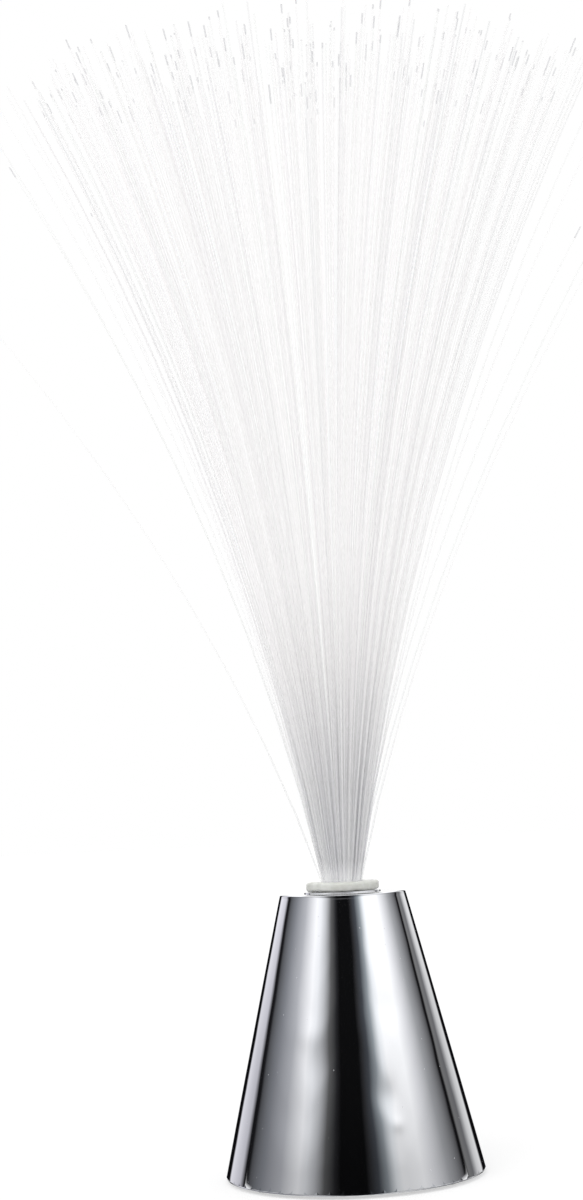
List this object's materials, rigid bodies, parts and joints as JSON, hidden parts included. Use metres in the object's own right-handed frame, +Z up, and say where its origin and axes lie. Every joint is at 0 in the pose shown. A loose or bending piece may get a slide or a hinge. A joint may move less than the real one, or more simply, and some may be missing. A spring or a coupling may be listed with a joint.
{
  "type": "fiber optic lamp",
  "caption": "Battery-powered fibre-optic lamp: a mirror-plated cone with a pale collar, and a spray of clear fibres fanning out from its top.",
  "frame": {"origin": "on the table, under the middle of the cone, in the plane of the four feet", "axes": "+Z up along the cone and the spray, +Y towards the battery door's latch, +X towards the slide switch under the base"},
  "size_m": [0.2099, 0.1045, 0.3282],
  "materials": {
    "plated_shell": "vacuum-plated mirror over moulded ABS",
    "ivory_bush": "slightly cloudy moulded polypropylene",
    "clear_potting": "fibres bonded in clear resin, ends polished",
    "acrylic_fibre": "clear drawn acrylic",
    "white_plastic": "moulded white ABS",
    "green_board": "solder-masked fibreglass board",
    "black_plastic": "lightly textured black ABS",
    "red_lens": "tinted clear epoxy",
    "green_lens": "tinted clear epoxy",
    "blue_lens": "tinted clear epoxy",
    "nickel_steel": "bright nickel-plated steel",
    "cell_jacket": "plain shrink jacket over a steel can",
    "grey_acetal": "moulded light grey acetal",
    "foot_rubber": "matt black rubber",
    "red_wire": "PVC insulation",
    "black_wire": "PVC insulation",
    "white_wire": "PVC insulation"
  },
  "bodies": {
    "base": {"cone_shell": "plated_shell", "light_cup": "white_plastic", "led_board": "green_board", "controller_chip": "black_plastic", "resistor_1": "black_plastic", "resistor_2": "black_plastic", "led_red": "red_lens", "led_green": "green_lens", "led_blue": "blue_lens", "board_screw_1": "nickel_steel", "board_screw_2": "nickel_steel", "base_plate": "black_plastic", "battery_cell_1": "cell_jacket", "battery_cell_2": "cell_jacket", "battery_cell_3": "cell_jacket", "battery_spring_1": "nickel_steel", "battery_spring_2": "nickel_steel", "battery_spring_3": "nickel_steel", "contact_minus": "nickel_steel", "contact_bridge_1": "nickel_steel", "contact_bridge_2": "nickel_steel", "contact_plus": "nickel_steel", "switch_body": "nickel_steel", "base_screw_1": "nickel_steel", "base_screw_2": "nickel_steel", "base_screw_3": "nickel_steel", "base_screw_4": "nickel_steel", "foot_1": "foot_rubber", "foot_2": "foot_rubber", "foot_3": "foot_rubber", "foot_4": "foot_rubber", "wire_red": "red_wire", "wire_black": "black_wire", "wire_white": "white_wire"},
    "bush": {"collar_bush": "ivory_bush"},
    "spray": {"fibre_bundle": "clear_potting", "fibre_spray": "acrylic_fibre"},
    "door": {"battery_door": "black_plastic"},
    "slider": {"switch_slider": "grey_acetal"}
  },
  "joints": [
    {"name": "bush_turn", "type": "hinge", "parent": "base", "child": "bush", "pos_m": [0, 0, 0.0782], "axis": [0, 0, 1], "continuous": true},
    {"name": "spray_lift", "type": "slide", "parent": "bush", "child": "spray", "axis": [0, 0, 1], "range_m": [0, 0.022]},
    {"name": "door_hinge", "type": "hinge", "parent": "base", "child": "door", "pos_m": [0, -0.0288, 0.0024], "axis": [-1, 0, 0], "range_deg": [0, 80]},
    {"name": "switch_slide", "type": "slide", "parent": "base", "child": "slider", "axis": [0, 1, 0], "range_m": [0, 0.002]}
  ]
}
